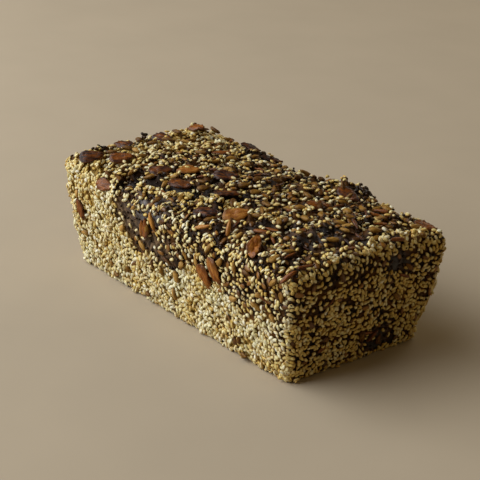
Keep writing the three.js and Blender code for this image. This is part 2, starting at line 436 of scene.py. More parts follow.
# Toasting of the sesame, from pale at 0 to brown at 1
WALL_TOAST = 0.5
TOP_TOAST = 0.7
WALL_TOAST_SPREAD = 0.18
TOP_TOAST_SPREAD = 0.25
TOAST_PATCHES = 30.0
PATCH_TOAST = 0.12
THIN_FRONT_TOAST = 0.18
# Painted warm shade: the seeds of the ends, which face away from the window, are made more golden
END_SHADE_TOAST = 0.45
FOOT_TOAST = 0.06
FOOT_TOAST_FADE = (30.0, 5.0)
NEAR_RIM_TOAST = 0.25
NEAR_RIM_FADE = (84.0, 95.0)

# Shades of sesame: piece, colour settings of its dark side, pale side and edge, and the toasting it spans;
# the edge colour is browning plus painted shade round the seed's rim
SESAME_SHADES = (
    ("sesame_pale", "straw_hull", "pale_hull", "golden_hull", -9.0, 0.42),
    ("sesame_straw", "golden_hull", "pale_hull", "toasted_hull", 0.42, 0.62),
    ("sesame_golden", "golden_hull", "straw_hull", "browned_edge", 0.62, 0.88),
    ("sesame_toasted", "toasted_hull", "golden_hull", "browned_edge", 0.88, 9.0),
)

# Tones that the seeds of one shade take, from its dark side at 0 to its pale side at 1
SHADE_TONES = (0.1, 1.0)

# How sesame lies: unevenness of size and lift, spread of its heading, and the heaps' height and toasting
SESAME_VARY = 0.08
SESAME_UNEVEN = 0.1
SESAME_TURN = 0.4
SESAME_HEAP = 0.35
SESAME_HEAP_TOAST = (0.88, 0.2)

# Sesame under a larger seed is left out, apart from a share that lies on top of it
SEED_COVER_DEPTH = 4.0
UNDER_SEED = 0.8
ON_SEED = 0.45
ON_SEED_LEVEL = 0.85
ON_SEED_SHARE = 0.3
ON_SEED_RISE = 2.0

# Flecks of crust, and the clods that larger ones pile up to
FLECK_SIZE = (2.1, 1.4, 1.1)
FLECK_ROOM = 1.8
FLECK_TILT = 0.5
FLECK_LIFT = -0.8
FLECK_VARY = 0.2
FLECK_CLEARANCE = 0.95
CLOD_SIZE = (3.2, 2.4, 1.8)
CLOD_HEIGHT = 0.8
CLOD_TONE = (0.3, 0.2)

# Shapes that the seeds of a kind take in turn: bend and twist of flat ones, point and bend of plump ones
PUMPKIN_SHAPES = ((0.1, 0.0), (0.3, 0.25), (-0.2, 0.1), (0.2, -0.35))
SLIVER_SHAPES = ((0.3, 0.4), (-0.5, -0.5))
KERNEL_SHAPES = ((0.4, 0.1), (0.48, -0.15), (0.3, 0.2))
SESAME_SHAPES = ((0.34, 0.0), (0.28, 0.15), (0.4, -0.1))

# A seed's raised rim and bend in its own box from -1 to 1, and how far it fills its cell of the bake map
RIM_PLACE = 0.8
RIM_BREADTH = 0.15
RIM_LEVEL = 0.5
BEND_LEVEL = 0.4
BAKE_FILL = 0.45

# Wrinkles of the seeds' skins, and sizes of the patterns and bumps in the materials
WRINKLE_LENGTH = 4.0
HULL_MOTTLE = 1.1
HULL_BUMP = 0.08
SKIN_GRAIN = 0.9
SKIN_BUMP = 0.28
CRUST_BLOTCH = 7.0
CRUST_STREAK = 1.7
CRUST_GRIT = 1.3
CRUST_BUMP = 0.6
ROLLER_MARK = 60.0

# How strongly those patterns change a tone, and how dark the darker side of a smear and of the floor is
MOTTLING = 0.5
STREAKING = 1.7
BLOTCHING = 1.0
RUBBED_SHADE = 0.4
FLOOR_SHADE = 0.96

# Spots where the sesame lies thicker or is missing: face, two places, two reaches, and the change in cover
COVER_SPOTS = (
    ("front", -44, 45, 8, 8, -0.65),
    ("front", -33, 42, 9, 8, -0.75),
    ("front", -22, 39, 10, 8, -0.85),
    ("front", -11, 35, 9, 6, -0.8),
    ("front", -2, 31, 7, 5, -0.65),
    ("front", -20, 47, 6, 5, -0.4),
    ("front", -78, 50, 18, 10, -0.35),
    ("front", 92, 28, 5, 20, -0.3),
    ("front", -10, 57, 18, 5, -0.7),
    ("front", -39, 56, 4, 6, -0.8),
    ("front", -49, 55, 7, 5, 0.5),
    ("front", 67, 31, 4, 5, -0.6),
    ("front", 4, 19, 12, 9, 0.35),
    ("near", 21, 51, 7, 5, -0.9),
    ("near", 17, 10, 13, 8, -1.1),
    ("near", -39, 38, 7, 9, -0.45),
    ("near", 21, 27, 5, 5, -0.4),
    ("top", -17, -49, 15, 5, -0.65),
    ("top", -51, -46, 8, 7, 0.5),
    ("top", -42, -44, 5, 6, -1.2),
    ("top", 88, 34, 10, 12, 0.25),
    ("top", 83, 2, 5, 12, -0.35),
    ("top", 94, 5, 3, 34, 0.4),
    ("top", -82, -43, 13, 8, -0.5),
    ("top", -74, 25, 14, 12, -0.3),
    ("near", 36, 50, 14, 10, 0.25),
    ("top", 25, -19, 14, 7, 0.4),
    ("top", -75, 5, 34, 50, 0.84),
    ("top", 85, -44, 10, 6, 0.3),
    ("top", 76, -14, 10, 14, -0.42),
)

# Soft lamps that look at the loaf: name, power setting, size, place and colour
LAMPS = (
    ("window", "window_power", (2000, 1600), (-800, -880, 840), (0.98, 1.0, 1.0)),
    ("back_light", "back_power", (1000, 600), (-500, 1350, 700), (1.0, 0.92, 0.75)),
    ("side_glow", "glow_power", (1000, 800), (900, 1000, 500), (1.0, 0.86, 0.6)),
)

# How far the floor goes, the width of the camera's sensor, and the camera's shift across and up
FLOOR_REACH = 4000
SENSOR_WIDTH = 36.0
VIEW_SHIFT = (-2.2, 30.6)


def linear(hex_colour):
    """An sRGB hex colour as linear red, green and blue."""
    channels = [int(hex_colour[i : i + 2], 16) / 255 for i in (1, 3, 5)]
    return [c / 12.92 if c <= 0.04045 else ((c + 0.055) / 1.055) ** 2.4 for c in channels]


def colour_property(name, description, hex_colour):
    return FloatVectorProperty(
        name=name, description=description, default=linear(hex_colour), subtype="COLOR", min=0.0, max=1.0
    )


def length_property(name, description, millimetres):
    return FloatProperty(
        name=name, description=description, default=millimetres * MM, unit="LENGTH", precision=5, min=0.0
    )


def angle_property(name, description, degrees):
    return FloatProperty(name=name, description=description, default=math.radians(degrees), subtype="ANGLE")


def power_property(name, description, watts):
    return FloatProperty(name=name, description=description, default=watts, unit="POWER", min=0.0)


class LoafCrustSettings(bpy.types.PropertyGroup):
    """Sizes and colours of the baked crust under the seeds"""

    cell: length_property("Cell", "Spacing of the crust's surface grid", 1.3)
    inset: length_property("Inset", "Depth of the crust under the outside of the seeds", 1.5)
    relief: length_property("Relief", "Height of the crumb's own roughness", 0.65)
    char: colour_property("Charred", "Darkest crust, on the top", "#251910")
    crumb: colour_property("Crumb", "Brown crust where it baked less", "#623d12")
    rusk: colour_property("Rusk", "Golden brown crust under a thick coat of sesame", "#bc9e54")
    smear: colour_property("Smear", "Bare crust that slid along the tin", "#8a7258")
    # Burnt crust whose colour holds a painted grey sheen of reflected light
    burnt: colour_property("Burnt", "Bare crust that burnt to slate", "#8a8b90")


class SeedCoatSettings(bpy.types.PropertyGroup):
    """Sizes and colours of the seeds"""

    sesame: FloatVectorProperty(
        name="Sesame",
        description="Length, width and thickness of a sesame seed",
        default=(3.1 * MM, 1.9 * MM, 1.25 * MM),
        unit="LENGTH",
        precision=5,
    )
    under_room: length_property("Under room", "Least distance between two seeds of the under layer", 1.68)
    over_room: length_property("Over room", "Least distance between two seeds of the upper layer", 1.95)
    pale_hull: colour_property("Pale hull", "Sesame that kept its colour", "#e3e0cf")
    straw_hull: colour_property("Straw hull", "Sesame that took some colour", "#e2ddb4")
    golden_hull: colour_property("Golden hull", "Sesame toasted golden", "#dccd88")
    toasted_hull: colour_property("Toasted hull", "Sesame toasted brown", "#cfb158")
    # Rim colour of golden and toasted sesame: browning plus painted shade
    browned_edge: colour_property("Browned edge", "Edge of a toasted sesame seed", "#b07c32")
    pumpkin_dark: colour_property("Dark pumpkin seed", "Pumpkin seed roasted almost black", "#2a1714")
    pumpkin_red: colour_property("Red pumpkin seed", "Pumpkin seed roasted red brown", "#824710")
    pumpkin_pale: colour_property("Pale pumpkin seed", "Pumpkin seed roasted to orange brown", "#ba8139")
    kernel_dark: colour_property("Dark kernel", "Sunflower kernel roasted brown", "#4a2c14")
    kernel_mid: colour_property("Olive kernel", "Sunflower kernel roasted olive brown", "#86601e")
    kernel_pale: colour_property("Pale kernel", "Sunflower kernel roasted tan", "#b8904e")
    linseed_dark: colour_property("Dark linseed", "Linseed as brown as it is when raw", "#44270f")
    linseed_pale: colour_property("Pale linseed", "Linseed roasted to toffee brown", "#966728")


class StudioSettings(bpy.types.PropertyGroup):
    """Floor, light and camera"""

    floor: colour_property("Floor", "Plain pale floor", "#b3a590")
    window_power: power_property("Window", "Power of the soft light", 39.5)
    back_power: power_property("Back", "Power of the light behind", 3.0)
    glow_power: power_property("Glow", "Power of the glow at the side", 1.0)
    sky: FloatProperty(name="Sky", description="Strength of the light all round", default=0.097, min=0.0)
    sky_colour: colour_property("Sky colour", "Warm light thrown back by the room", "#ffd68c")
    azimuth: angle_property("Azimuth", "Turn of the camera about the loaf", 50.56)
    elevation: angle_property("Elevation", "Camera above the loaf", 23.0)
    roll: angle_property("Roll", "Lean of the camera", 2.31)
    distance: length_property("Distance", "Camera from the loaf", 777.0)
    lens: FloatProperty(name="Lens", description="Focal length", default=108.75, unit="CAMERA")


def smoothstep(low, high, value):
    share = np.clip((value - low) / (high - low), 0.0, 1.0)
    return share * share * (3.0 - 2.0 * share)


def unit(vectors):
    return vectors / np.linalg.norm(vectors, axis=-1, keepdims=True)


def waves(points, longest, count):
    """Sine waves through space, each shorter than the last, that turn by the golden angle."""
    for i in range(count):
        length = longest * SWELL_SHRINK**i
        climb = 1.0 - (2.0 * i + 1.0) / count
        reach = math.sqrt(1.0 - climb * climb)
        turn = i * GOLDEN_TURN
        way = np.array((reach * math.cos(turn), reach * math.sin(turn), climb))
        yield length, np.sin(2.0 * math.pi * (points @ way) / length + turn)


def patches(points, longest, count=6):
    """Soft patches about zero, mostly between -1 and 1."""
    return sum(wave for _, wave in waves(points, longest, count)) / math.sqrt(count / 2)


def nearness(points, spot, reach):
    """How near points are to a spot, from 0 far away to 1."""
    return np.exp(-((points - np.array(spot)) ** 2).sum(axis=1) / reach**2)


def spot_sum(spots, face, a, b):
    """What a table's spots add up to at places on a face, each fading out over its two reaches."""
    total = 0.0 * a
    for spot_face, spot_a, spot_b, reach_a, reach_b, most in spots:
        if spot_face == face:
            total = total + most * np.exp(-(((a - spot_a) / reach_a) ** 2) - ((b - spot_b) / reach_b) ** 2)
    return total


def on_loaf(block):
    """Carries points of the plain block onto the loaf: rounded, leaned, crowned, swollen and pushed."""
    core = np.empty_like(block)
    core[:, 0] = np.clip(block[:, 0], CORNER - HALF_LENGTH, HALF_LENGTH - CORNER)
    core[:, 1] = np.clip(block[:, 1], CORNER - HALF_WIDTH, HALF_WIDTH - CORNER)
    core[:, 2] = np.clip(block[:, 2], HEEL - UNDERCUT, RIM_HEIGHT - SHOULDER)
    radii = np.full_like(block, CORNER)
    radii[:, 2] = np.where(block[:, 2] > core[:, 2], SHOULDER, HEEL)
    share = unit((block - core) / radii)
    point = core + share * radii
    outward = unit(share / radii)

    top = smoothstep(RIM_HEIGHT - 2 * SHOULDER, RIM_HEIGHT, point[:, 2])
    lean = WALL_LEAN * (1.0 - point[:, 2] / RIM_HEIGHT)
    end_drop = np.abs(point[:, 0] / HALF_LENGTH) ** CROWN_POWER_ALONG
    side_drop = np.abs(point[:, 1] / HALF_WIDTH) ** CROWN_POWER_ACROSS
    point[:, 0] *= 1.0 - lean / HALF_LENGTH
    point[:, 1] *= 1.0 - lean / HALF_WIDTH
    point[:, 2] += CROWN_RISE * top * (1.0 - end_drop) * (1.0 - side_drop)

    swell = SWELL_SLOPE * sum(length * wave for length, wave in waves(point, SWELL_LENGTH, SWELLS))
    swell *= (TIN_SMOOTHING + (1.0 - TIN_SMOOTHING) * top) * smoothstep(0.0, FOOT, point[:, 2])
    moved = point + outward * swell[:, None]
    for spot, reach, push in PUSHES:
        moved += nearness(point, spot, reach)[:, None] * np.array(push)
    return moved


def surface(face, a, b):
    """Spots on the loaf at places on one face, with the ways along, across and out of it there."""
    first, second, fixed, where, outward = FACES[face]

    def spots(step_a, step_b):
        block = np.empty((len(a), 3))
        block[:, first] = a + step_a
        block[:, second] = b + step_b
        block[:, fixed] = where
        return on_loaf(block)

    along = unit(spots(1.0, 0.0) - spots(-1.0, 0.0))
    across = spots(0.0, 1.0) - spots(0.0, -1.0)
    out = unit(np.cross(along, across)) * outward
    return spots(0.0, 0.0), along, np.cross(out, along), out


def in_fold(x, y, reach):
    """How near a place on the top is to the middle of the fold, from 0 to 1."""
    off = y - np.interp(x, FOLD_PLACES, FOLD_SIDES)
    return smoothstep(*FOLD_FADE, np.abs(x - FOLD_MIDDLE)) * np.exp(-((off / reach) ** 2))


def crag(spots, out):
    """Height of the crust's lumps, fold, dips and lips over the solid, less room for the thickest coat."""
    top = smoothstep(*CRAG_TOP, out[:, 2])
    x, y = spots[:, 0], spots[:, 1]
    lip = FOLD_LIP_HEIGHT * in_fold(x, y + FOLD_LIP, FOLD_LIP_REACH)
    fold = lip - FOLD_DEPTH * in_fold(x, y, FOLD_REACH)
    along_back = smoothstep(*BACK_COAT_FADE, y) * smoothstep(*BACK_COAT_END, x)
    under_coat = FAR_COAT * smoothstep(*FAR_COAT_FADE, x) + BACK_COAT * along_back
    lumps = (WALL_LUMPS + TOP_LUMPS * top) * patches(spots, LUMP_LENGTH, LUMP_WAVES)
    return lumps + top * (fold - under_coat - spot_sum(TOP_DIPS, "top", x, y))


def thick_coat(x, z, wobble):
    """How far a place on the front wall lies inside the thick coat of sesame, from 0 to 1."""
    height = np.interp(x, THICK_COAT_PLACES, THICK_COAT_HEIGHTS) + THICK_COAT_WOBBLE * wobble
    return 1.0 - smoothstep(height - THICK_COAT_EDGE, height + THICK_COAT_EDGE, z)


def loose_coat(x, z):
    """How far a place on the front wall lies in the looser coat towards the near end, from 0 to 1."""
    upright = smoothstep(*LOOSE_COAT_FOOT, z) * smoothstep(*LOOSE_COAT_HEAD, z)
    return smoothstep(*LOOSE_COAT_START, x) * upright


def front_place(face, a):
    """The place along the front wall whose coat a wall has there: the back wall has it turned about."""
    return a if face == "front" else -a


def patchy(cover, spots):
    """The share of places that a cover fills, uneven by its patches and clumps."""
    mean, broad, fine, clumps = cover
    uneven = broad * patches(spots, BROAD_PATCHES) + fine * patches(spots, FINE_PATCHES)
    return mean + uneven + clumps * patches(spots, CLUMPS)


def sesame_cover(face, a, b, spots):
    """Share of the under layer's places that sesame fills; near 1 and above, the upper layer fills too."""
    if face == "top":
        cover = patchy(TOP_COVER, spots) - FOLD_BARING * in_fold(a, b, FOLD_BARE_REACH)
    elif face in ENDS:
        cover = patchy(END_COVER, spots) + END_FOOT * smoothstep(*END_FOOT_FADE, b)
        cover -= END_RIM_BARING[face] * smoothstep(*END_RIM_FADE, b)
    else:
        x = front_place(face, a)
        thick = thick_coat(x, b, patches(spots, BROAD_PATCHES))
        loose = loose_coat(x, b)
        cover = thick * (patchy(THICK_COVER, spots) - LOOSE_IN_THICK * loose)
        cover += (1.0 - thick) * (patchy(THIN_COVER, spots) + LOOSE_IN_THIN * loose)
    return np.maximum(cover + spot_sum(COVER_SPOTS, face, a, b), LEAST_COVER)


def stacked_cover(face, a, b, spots):
    """Share of the places in the upper layer of sesame that are filled."""
    return np.clip(STACK_RATE * (sesame_cover(face, a, b, spots) - STACK_START), 0.0, STACK_MOST)


def fleck_cover(face, a, b, spots):
    """Share of the places for flecks of crust that are filled: most on the top, none under a thick coat."""
    if face == "top":
        return TOP_FLECKS - TOP_FLECKS_LOST * smoothstep(*FAR_FADE, a)
    if face in ENDS:
        return np.full(len(a), END_FLECKS)
    thin = 1.0 - thick_coat(front_place(face, a), b, patches(spots, BROAD_PATCHES))
    beside_sesame = np.clip(FLECKS_PER_SESAME * sesame_cover(face, a, b, spots), LEAST_FLECKS, 1.0)
    return WALL_FLECKS * thin * beside_sesame


def chip_cover(face, a, b, spots):
    """Share of the smaller brown seeds that stay: few at the far end, in thick sesame and on bare crust."""
    if face == "top":
        outside = in_fold(a, b, FOLD_CHAR_SHADE_REACH) < FOLD_CHIPS
        return outside * (1.0 - FAR_CHIPS_LOST * smoothstep(*FAR_FADE, a))
    if face in ENDS:
        return np.ones(len(a))
    thin = 1.0 - THICK_CHIPS_LOST * thick_coat(front_place(face, a), b, 0.0)
    return thin * np.clip(CHIPS_PER_SESAME * sesame_cover(face, a, b, spots), LEAST_CHIPS, 1.0)


def spaced(a, b, rooms):
    """Takes places in turn, apart from each that has an earlier one within its own room."""
    cell = rooms.max()
    kept = []
    cells = {}
    for i, (x, y, room) in enumerate(zip(a.tolist(), b.tolist(), rooms.tolist())):
        column, row = int(x // cell), int(y // cell)
        beside = [cells.get((column + u, row + v), ()) for u in (-1, 0, 1) for v in (-1, 0, 1)]
        if all((x - p) ** 2 + (y - q) ** 2 >= room * room for places in beside for p, q in places):
            cells.setdefault((column, row), []).append((x, y))
            kept.append(i)
    return kept


def strew(rng, face, room, cover=1.0, margin=0.0, uneven=UNEVEN_ROOMS):
    """Draws places on a face, a room apart where the cover is full and further apart where it is thin."""
    first, second = FACES[face][:2]
    (a_low, a_high), (b_low, b_high) = SPANS[first], SPANS[second]
    count = int(TRIES_PER_PLACE * (a_high - a_low) * (b_high - b_low) / room**2)
    a = rng.uniform(a_low + margin, a_high - margin, count)
    b = rng.uniform(b_low + margin, b_high - margin, count)
    close = spaced(a, b, np.full(count, room))
    a, b = a[close], b[close]
    spots = surface(face, a, b)[0]
    share = cover(face, a, b, spots) if callable(cover) else cover
    rooms = room / np.sqrt(np.clip(share, LEAST_SHARE, 1.0)) * rng.uniform(*uneven, len(a))
    apart = spaced(a, b, rooms)
    return a[apart], b[apart], spots[apart]


def broadside(rng, face, a, b, spread):
    """Headings that turn each seed's side to its nearest neighbour, give or take a spread."""
    mirrored = FACES[face][4]
    places = np.stack((a, mirrored * b, np.zeros(len(a))), axis=1)
    tree = kdtree.KDTree(len(a))
    for i, place in enumerate(places):
        tree.insert(place, i)
    tree.balance()
    nearest = np.array([tree.find_n(place, 2)[1][1] for place in places])
    steps = places[nearest] - places
    return np.arctan2(steps[:, 1], steps[:, 0]) + math.pi / 2 + rng.normal(0.0, spread, len(a))


class Seeds:
    """Seeds of one kind, gathered face by face: their middles, own axes, sizes and tones."""

    def __init__(self):
        self.middles = np.empty((0, 3))
        self.axes = np.empty((0, 3, 3))
        self.sizes = np.empty((0, 3))
        self.tones = np.empty(0)

    def lay(self, face, a, b, heading, roll, pitch, lift, sizes, tones):
        """Lays seeds on a face by heading along it, roll about their length and pitch of their nose."""
        each = np.broadcast_arrays(a, b, heading, roll, pitch, lift, tones)
        a, b, heading, roll, pitch, lift, tones = each
        spots, along, side, out = surface(face, a, b)
        long_way = turned(heading, along, side)
        wide_way = turned(roll, np.cross(out, long_way), out)
        long_way = turned(pitch, long_way, np.cross(long_way, wide_way))
        thick_way = np.cross(long_way, wide_way)
        self.middles = np.concatenate((self.middles, spots + out * lift[:, None]))
        self.axes = np.concatenate((self.axes, np.stack((long_way, wide_way, thick_way), axis=1)))
        self.sizes = np.concatenate((self.sizes, np.broadcast_to(sizes, (len(a), 3))))
        self.tones = np.concatenate((self.tones, tones))

    def scatter(self, rng, face, a, b, tilt, lift, size, vary, tones, spread=None):
        """Lays seeds side by side or at random headings, tilted both ways and of slightly uneven size."""
        count = len(a)
        heading = broadside(rng, face, a, b, spread) if spread else rng.uniform(0.0, 2.0 * math.pi, count)
        roll = rng.normal(0.0, tilt, count)
        pitch = rng.normal(0.0, tilt, count)
        sizes = np.array(size) * np.clip(rng.normal(1.0, vary, (count, 3)), *SIZE_LIMITS)
        spots, _, _, out = surface(face, a, b)
        lift = lift + crag(spots, out)
        self.lay(face, a, b, heading, roll, pitch, lift, sizes, tones)

    def heap(self, rng, heaps, height, size, vary, tones):
        """Piles seeds up around a few spots, highest in the middle of each."""
        for face, a, b, reach, count in heaps:
            step_a, step_b = rng.normal(0.0, reach / 2, (2, count))
            peak = np.exp(-(step_a**2 + step_b**2) / reach**2)
            rise = height * reach * peak * rng.random(count) - HEAP_SINK
            drawn = rng.normal(*tones, count)
            self.scatter(rng, face, a + step_a, b + step_b, HEAP_TILT, rise, size, vary, drawn)

    def picked(self, which):
        """Some of these seeds, as a kind of their own."""
        some = Seeds()
        some.middles, some.axes = self.middles[which], self.axes[which]
        some.sizes, some.tones = self.sizes[which], self.tones[which]
        return some

    def covers(self, spots, share):
        """Which spots lie over or under one of these seeds, within a share of its outline."""
        covered = np.zeros(len(spots), dtype=bool)
        for middle, axes, size in zip(self.middles, self.axes, self.sizes):
            own = (spots - middle) @ axes.T / (size / 2 * share)
            covered |= (own[:, 0] ** 2 + own[:, 1] ** 2 < 1.0) & (np.abs(own[:, 2]) < SEED_COVER_DEPTH)
        return covered


def turned(angle, one, other):
    """The way that lies at an angle from one way towards another."""
    return np.cos(angle)[:, None] * one + np.sin(angle)[:, None] * other


def solid_seeds():
    """The larger seeds that the solid has, by kind: in their places there, but settled in the dips."""
    laid = [(*seed[:4], math.radians(seed[4]), math.radians(seed[5]), seed[6]) for seed in CHOSEN_SEEDS]
    for kind, face, count, room in STREWN_SEEDS:
        spans = [SPANS[axis] for axis in FACES[face][:2]]
        left = count
        for i in range(1, STREW_TRIES * count):
            a, b = (
                low + STREW_MARGIN + (high - low - 2 * STREW_MARGIN) * (i * step % 1.0)
                for (low, high), step in zip(spans, STREW_STEP)
            )
            crowded = any(s[1] == face and math.hypot(s[2] - a, s[3] - b) < room for s in laid)
            if left and not crowded:
                tone = STREWN_TONE[0] + STREWN_TONE[1] * (i * STREW_STEP[0] * 2.0 % 1.0)
                tone += STREWN_FRONT_PALER * (face == "front")
                laid.append((kind, face, a, b, i * GOLDEN_TURN, SEED_ROLL * math.sin(i), tone))
                left -= 1
    kinds = {kind: Seeds() for kind in SEED_SIZES}
    for kind, face, a, b, heading, roll, tone in laid:
        size = np.array(SEED_SIZES[kind]) * (STREWN_SIZE[0] + STREWN_SIZE[1] * (a * STREW_STEP[1] % 1.0))
        lift = SEED_SIT * size[2] - spot_sum(TOP_DIPS, face, a, b)
        kinds[kind].lay(face, np.array([a]), b, heading, roll, 0.0, lift, size, tone)
    return kinds


def all_seeds():
    """Every seed larger than sesame, by kind: the solid's, those seen one by one, and smaller ones."""
    rng = np.random.default_rng(LARGE_SEED_DRAWS)
    kinds = solid_seeds()
    for kind, face, a, b, *turns, tone in LOOSE_SEEDS:
        heading, roll, pitch = np.radians(turns)
        size = np.array(SEED_SIZES[kind])
        lift = SEED_SIT * size[2] + PITCH_LIFT * size[0] * math.sin(pitch) - spot_sum(TOP_DIPS, face, a, b)
        kinds[kind].lay(face, np.array([a]), b, heading, roll, pitch, lift, LOOSE_SIZE * size, tone)
    for kind, face, room, share, tilt in SMALL_SEEDS:
        margin, scale, palest = SMALL_SEED_RULES[kind]
        a, b, spots = strew(rng, face, room, share, margin)
        free = ~any_covers(kinds, spots, SMALL_SEED_CLEARANCE)
        free &= rng.random(len(a)) < chip_cover(face, a, b, spots)
        a, b = a[free], b[free]
        size = scale * np.array(SEED_SIZES[kind])
        tones = palest * rng.random(len(a))
        kinds[kind].scatter(rng, face, a, b, tilt, size[2] / 2 - SEED_SINK, size, SMALL_SEED_VARY, tones)
    return kinds


def any_covers(kinds, spots, share):
    """Which spots lie over or under a seed of any kind, within a share of its outline."""
    covered = np.zeros(len(spots), dtype=bool)
    for seeds in kinds.values():
        covered |= seeds.covers(spots, share)
    return covered


def seed_shape(sides, rings, point, flatness=1.0, bend=0.0, twist=0.0, rim=0.0):
    """One seed along X in a box from -1 to 1, drawn to a point at one end, as corners and triangles."""
    seed = bmesh.new()
    bmesh.ops.create_uvsphere(seed, u_segments=sides, v_segments=rings, radius=1.0)
    lying = Matrix.Rotation(math.radians(90), 3, "Y")
    bmesh.ops.rotate(seed, verts=seed.verts, cent=(0, 0, 0), matrix=lying)
    for vert in seed.verts:
        x, y, z = vert.co
        off_rim = (math.hypot(x, y) - RIM_PLACE) / RIM_BREADTH
        beaded = 1.0 + rim * (math.exp(-(off_rim**2)) - RIM_LEVEL)
        z = math.copysign(abs(z) ** flatness, z) * beaded + bend * (x * x - BEND_LEVEL)
        y *= 1.0 - point * x
        vert.co = Matrix.Rotation(twist * x, 3, "X") @ Vector((x, y, z))
    bmesh.ops.triangulate(seed, faces=seed.faces)
    bmesh.ops.recalc_face_normals(seed, faces=seed.faces)
    corners = np.array([vert.co for vert in seed.verts])
    # Sorted, because a sphere's faces come in a different order each run
    triangles = np.array(sorted([vert.index for vert in face.verts] for face in seed.faces))
    seed.free()
    return corners, triangles


def bake_cells(count, corners, triangles):
    """Places for every seed in a square map, with the upper and under side of each in a cell of its own."""
    across = math.ceil(math.sqrt(2 * count))
    under = corners[triangles][:, :, 2].mean(axis=1) < 0
    cell = 2 * np.arange(count)[:, None] + under[None, :]
    origin = np.stack((cell % across, cell // across), axis=-1)
    reach = np.abs(corners[:, :2]).max(axis=0)
    within = corners[triangles][:, :, :2] / reach * BAKE_FILL + 0.5
    return (origin[:, :, None, :] + within[None]) / across


def seed_piece(name, shapes, seeds, material, wrinkle=0.0):
    """One mesh of all the seeds of a kind, which takes its shapes in turn and stays above the base."""
    triangles = shapes[0][1]
    corners = np.stack([shape[0] for shape in shapes])
    count = len(seeds.middles)
    own = corners[np.arange(count) % len(shapes)]
    points = np.einsum("nvk,nk,nkj->nvj", own, seeds.sizes / 2, seeds.axes) + seeds.middles[:, None]
    if wrinkle:
        crease = wrinkle * patches(points.reshape(-1, 3), WRINKLE_LENGTH).reshape(count, -1)
        points += crease[:, :, None] * seeds.axes[:, None, 2]
    points[:, :, 2] -= np.minimum(points[:, :, 2].min(axis=1), 0.0)[:, None]
    faces = triangles[None] + own.shape[1] * np.arange(count)[:, None, None]

    mesh = bpy.data.meshes.new(name)
    mesh.from_pydata(points.reshape(-1, 3) * MM, [], faces.reshape(-1, 3))
    mesh.shade_smooth()
    tones = np.repeat(seeds.tones, own.shape[1])
    mesh.attributes.new("tone", "FLOAT", "POINT").data.foreach_set("value", tones)
    mesh.attributes.new("own", "FLOAT_VECTOR", "POINT").data.foreach_set("vector", own.ravel())
    bake_map = mesh.uv_layers.new(name="OFBake")
    bake_map.data.foreach_set("uv", bake_cells(count, corners[0], triangles).ravel())
    mesh.materials.append(material)
    return show(name, mesh)


def show(name, mesh):
    """Puts a finished piece in the scene, riding on the loaf in the place of the plain solid."""
    piece = bpy.data.objects.new(name, mesh)
    bpy.context.scene.collection.objects.link(piece)
    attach(piece, "root")
    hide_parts("loaf")
    return piece


def add_node(tree, kind, inputs=None, stops=(), **settings):
    """Adds a node with its settings and colour stops, and gives its inputs values or links."""
    node = tree.nodes.new(kind)
    for name, value in settings.items():
        setattr(node, name, value)
    for name, value in (inputs or {}).items():
        if isinstance(value, bpy.types.NodeSocket):
            tree.links.new(value, node.inputs[name])
        else:
            node.inputs[name].default_value = value
    for place, _ in stops[2:]:
        node.color_ramp.elements.new(place)
    for i, (place, colour) in enumerate(stops):
        node.color_ramp.elements[i].position = place
        node.color_ramp.elements[i].color = (*colour, 1.0)
    return node


def new_material(name, finish):
    """A material with its node tree and its shader, which takes the finish as values of its own sockets."""
    material = bpy.data.materials.new(name)
    material.use_nodes = True
    tree = material.node_tree
    skin = tree.nodes["Principled BSDF"]
    for socket, value in finish.items():
        skin.inputs[socket].default_value = value
    return material, tree, skin


def per_mm(millimetres):
    """The scale that gives a pattern this size on coordinates in metres."""
    return 1.0 / (millimetres * MM)


def rim_browned_and_shaded(tree, own, colour, rim, start, most):
    """A seed's colour that turns to its rim's, from a share of its half width outwards: painted shade round
    the seed's edge, on hulls mixed with browning.
    """
    flat = add_node(tree, "ShaderNodeVectorMath", {0: own, 1: (1.0, 1.0, 0.0)}, operation="MULTIPLY")
    reach = add_node(tree, "ShaderNodeVectorMath", {0: flat.outputs["Vector"]}, operation="LENGTH")
    fade = {"Value": reach.outputs["Value"], "From Min": start, "From Max": 1.0, "To Max": most}
    share = add_node(tree, "ShaderNodeMapRange", fade)
    blend = {"Factor": share.outputs["Result"], "A": colour, "B": (*rim, 1.0)}
    return add_node(tree, "ShaderNodeMix", blend, data_type="RGBA").outputs["Result"]


def hull(name, dark, pale, edge_brown_and_shade, roughness, gloss):
    """Thin seed hull: toned seed by seed, mottled by the oven, browner at its edge by browning and painted
    shade, with a soft gleam.
    """
    finish = {"Roughness": roughness, "Specular IOR Level": gloss}
    coat = {"Coat Weight": gloss, "Coat Roughness": 0.2}
    material, tree, skin = new_material(name, finish | coat)
    place = add_node(tree, "ShaderNodeTexCoord").outputs["Object"]
    tone = add_node(tree, "ShaderNodeAttribute", attribute_name="tone").outputs["Fac"]
    own = add_node(tree, "ShaderNodeAttribute", attribute_name="own").outputs["Vector"]
    spots = {"Vector": place, "Scale": per_mm(HULL_MOTTLE), "Detail": 3.0}
    mottle = add_node(tree, "ShaderNodeTexNoise", spots).outputs["Fac"]
    change = {0: mottle, 1: MOTTLING, 2: -MOTTLING / 2}
    shift = add_node(tree, "ShaderNodeMath", change, operation="MULTIPLY_ADD")
    shaded = add_node(tree, "ShaderNodeMath", {0: tone, 1: shift.outputs[0]}, operation="ADD")
    colour = add_node(tree, "ShaderNodeValToRGB", {"Fac": shaded.outputs[0]}, ((0.0, dark), (1.0, pale)))
    # Painted shade with some browning: the rim turns to the edge colour
    tinted = rim_browned_and_shaded(tree, own, colour.outputs["Color"], edge_brown_and_shade, start=0.45, most=0.7)
    bump = add_node(tree, "ShaderNodeBump", {"Height": mottle, "Distance": HULL_BUMP * MM, "Strength": 0.6})
    tree.links.new(tinted, skin.inputs["Base Color"])
    tree.links.new(bump.outputs["Normal"], skin.inputs["Normal"])
    return material


